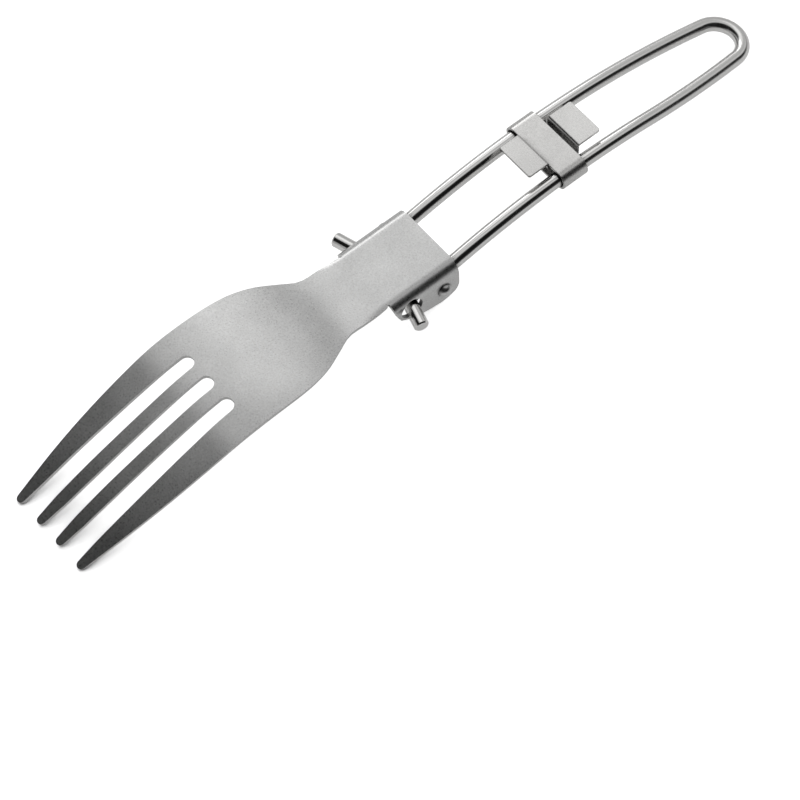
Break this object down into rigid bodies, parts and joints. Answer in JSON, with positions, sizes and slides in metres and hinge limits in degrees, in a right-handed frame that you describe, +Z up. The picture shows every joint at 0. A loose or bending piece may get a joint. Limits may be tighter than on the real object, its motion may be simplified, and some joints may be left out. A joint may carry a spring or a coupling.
{
  "type": "folding fork",
  "caption": "Folding camp fork: stamped steel head, wire handle hinged in its ears, and a sliding clip that locks the handle open.",
  "frame": {"origin": "on the plane of the lowest point, under the middle of the open fork's length and width", "axes": "+X along the fork towards the tines, +Y across it, +Z up out of its convex back"},
  "size_m": [0.1748, 0.0272, 0.0147],
  "materials": {
    "satin_steel": "satin",
    "polished_wire": "polished",
    "clip_steel": "satin"
  },
  "bodies": {
    "head": {"head": "satin_steel"},
    "handle": {"handle": "polished_wire"},
    "lock_clip": {"lock_clip": "clip_steel"}
  },
  "joints": [
    {"name": "fold", "type": "hinge", "parent": "head", "child": "handle", "pos_m": [0.00538, 0, 0.0068], "axis": [0, -1, 0], "range_deg": [0, 180]},
    {"name": "clip_slide", "type": "hinge", "parent": "handle", "child": "lock_clip", "pos_m": [-0.03612, 0, -0.13112], "axis": [0, 1, 0], "range_deg": [-6.5, 9.4]}
  ]
}
